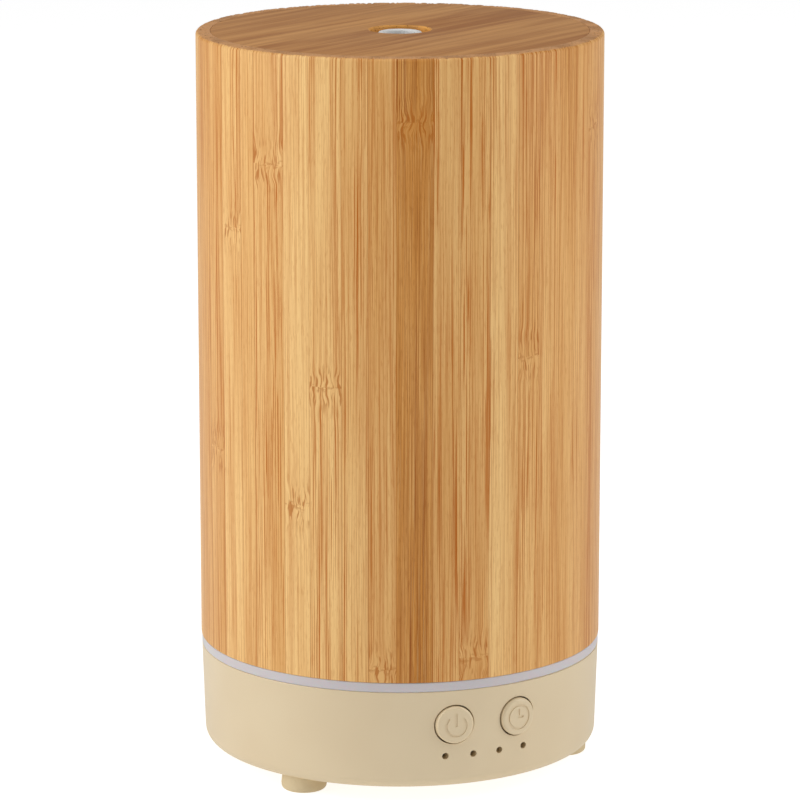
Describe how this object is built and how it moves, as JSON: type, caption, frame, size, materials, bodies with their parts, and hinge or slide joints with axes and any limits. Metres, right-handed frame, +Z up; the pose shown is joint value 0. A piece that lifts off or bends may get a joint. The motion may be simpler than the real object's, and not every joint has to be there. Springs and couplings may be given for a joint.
{
  "type": "essential oil diffuser",
  "caption": "Ultrasonic essential oil diffuser: a bamboo cover with a mist hole lifts off a water tank on a cream base with push buttons and a light ring.",
  "frame": {"origin": "on the cover's axis, on the surface that the feet stand on", "axes": "+Z up, -Y towards the side with the two buttons, +X to the right as seen from that side"},
  "size_m": [0.084, 0.0843, 0.1537],
  "materials": {
    "bamboo_side": "bamboo staves, end to end up the tube, satin lacquer",
    "bamboo_top": "bamboo board, satin lacquer",
    "liner_plastic": "white polypropylene, fine moulded texture",
    "cream_plastic": "cream ABS, fine matte texture",
    "foot_rubber": "cream silicone rubber",
    "tank_plastic": "milky translucent polypropylene",
    "ring_plastic": "frosted translucent polypropylene, lit from inside",
    "screw_steel": "zinc-plated steel",
    "disc_steel": "stainless steel",
    "ceramic": "silvered piezo ceramic",
    "seal_rubber": "translucent white silicone rubber",
    "foam": "closed-cell foam",
    "black_plastic": "black moulded plastic",
    "magnet": "plastic-bonded ferrite",
    "coil_copper": "enamelled copper wire",
    "board_green": "green solder mask over glass epoxy",
    "lamp_clear": "clear epoxy",
    "pin_brass": "nickel-plated brass",
    "capacitor_sleeve": "printed shrink sleeve",
    "sink_aluminium": "anodised aluminium",
    "connector_white": "white nylon",
    "lead_sleeve": "coloured PVC insulation"
  },
  "bodies": {
    "base": {"base_shell": "cream_plastic", "foot_left": "foot_rubber", "foot_right": "foot_rubber", "foot_rear": "foot_rubber", "base_screws": "screw_steel", "water_tank": "tank_plastic", "light_ring": "ring_plastic", "air_duct": "tank_plastic", "fan_hood": "liner_plastic", "duct_cap": "liner_plastic", "transducer_plate": "disc_steel", "piezo_ceramic": "ceramic", "disc_seal": "seal_rubber", "disc_retainer": "black_plastic", "retainer_screws": "screw_steel", "fan_frame": "black_plastic", "fan_stator": "coil_copper", "fan_screws": "screw_steel", "fan_gasket": "foam", "power_switch": "black_plastic", "timer_switch": "black_plastic", "button_board": "board_green", "indicator_leds": "lamp_clear", "main_board": "board_green", "board_screws": "screw_steel", "dc_jack": "black_plastic", "dc_jack_pin": "pin_brass", "driver_inductor": "coil_copper", "filter_capacitor": "capacitor_sleeve", "heat_sink": "sink_aluminium", "driver_transistor": "black_plastic", "controller_chip": "black_plastic", "board_connectors": "connector_white", "chip_components": "black_plastic", "light_board": "board_green", "light_leds": "lamp_clear", "fan_leads": "lead_sleeve", "disc_leads": "lead_sleeve", "light_leads": "lead_sleeve", "button_leads": "lead_sleeve"},
    "cover": {"bamboo_sleeve": "bamboo_side", "bamboo_top_disc": "bamboo_top", "cover_liner": "liner_plastic"},
    "power_key": {"power_button": "cream_plastic", "power_plunger": "black_plastic"},
    "timer_key": {"timer_button": "cream_plastic", "timer_plunger": "black_plastic"},
    "fan_rotor": {"fan_impeller": "black_plastic", "fan_magnet": "magnet", "fan_shaft": "disc_steel"}
  },
  "joints": [
    {"name": "cover_lift", "type": "slide", "parent": "base", "child": "cover", "axis": [0, 0, 1], "range_m": [0, 0.1]},
    {"name": "power_press", "type": "slide", "parent": "base", "child": "power_key", "axis": [0, 1, 0], "range_m": [0, 0.0005], "stiffness_N_per_m": 1500, "springref_m": -0.0005},
    {"name": "timer_press", "type": "slide", "parent": "base", "child": "timer_key", "axis": [0, 1, 0], "range_m": [0, 0.0005], "stiffness_N_per_m": 1500, "springref_m": -0.0005},
    {"name": "fan_spin", "type": "hinge", "parent": "base", "child": "fan_rotor", "pos_m": [0.0175, -0.002, 0.0115], "axis": [0, 0, 1], "continuous": true}
  ]
}
